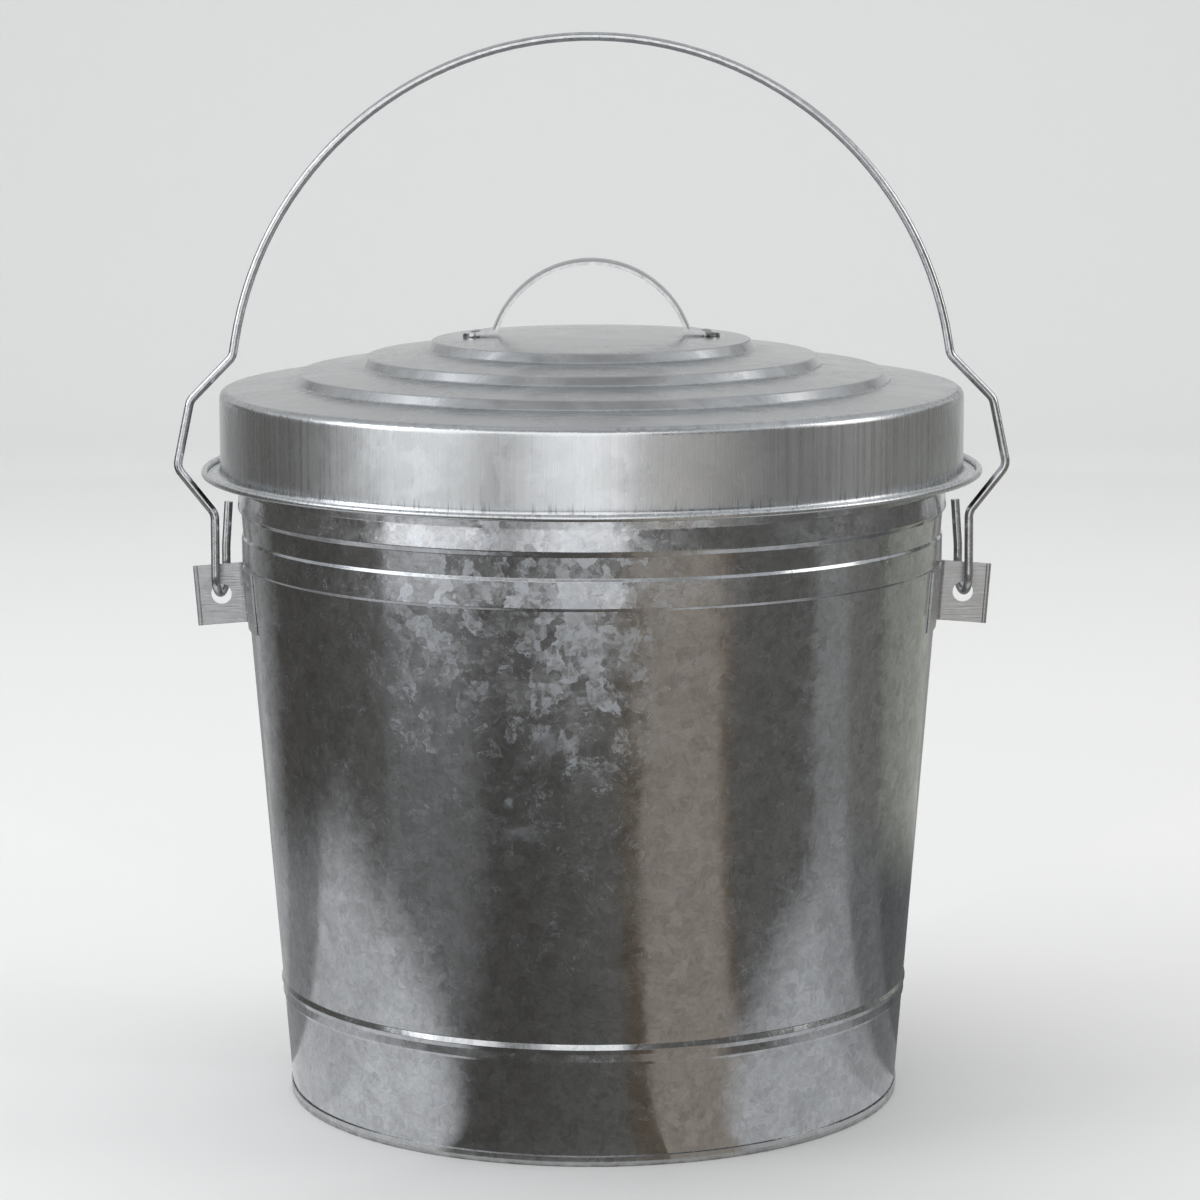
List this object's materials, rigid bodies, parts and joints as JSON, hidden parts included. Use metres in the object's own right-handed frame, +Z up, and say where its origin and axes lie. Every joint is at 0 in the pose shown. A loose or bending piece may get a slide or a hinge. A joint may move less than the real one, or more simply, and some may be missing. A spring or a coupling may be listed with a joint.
{
  "type": "lidded metal pail",
  "caption": "Tapered galvanized sheet-steel trash can with a stepped lift-off lid, a strap handle on the lid and a wire bail that swings on two side ears.",
  "frame": {"origin": "centre of the base, on the floor", "axes": "+Z up along the can's axis; the ears and the bail's pivot lie along X; the front is towards -Y, and the folded seam is at the back, towards +Y"},
  "size_m": [0.3928, 0.3672, 0.5016],
  "materials": {
    "wall_sheet": "hot-dip galvanized, glossy with a blue-grey spangle",
    "pan_sheet": "hot-dip galvanized, slightly dull",
    "wire_bright": "drawn galvanized wire, smooth",
    "ear_sheet": "galvanized, with fine drawing lines",
    "lid_sheet": "galvanized, satin with a cloudy spangle",
    "strap_sheet": "galvanized, satin",
    "rivet_steel": "zinc plated, dull"
  },
  "bodies": {
    "can": {"side_wall": "wall_sheet", "bottom_pan": "pan_sheet", "mouth_wire": "wire_bright", "left_ear": "ear_sheet", "right_ear": "ear_sheet"},
    "lid": {"lid_shell": "lid_sheet", "lid_handle": "strap_sheet", "lid_handle_rivets": "rivet_steel"},
    "bail": {"bail": "wire_bright"}
  },
  "joints": [
    {"name": "bail_swing", "type": "hinge", "parent": "can", "child": "bail", "pos_m": [0, 0, 0.24758], "axis": [1, 0, 0], "range_deg": [-120, 120]},
    {"name": "lid_turn", "type": "hinge", "parent": "can", "child": "lid", "pos_m": [0, 0, 0.336], "axis": [0, 0, 1], "continuous": true}
  ]
}
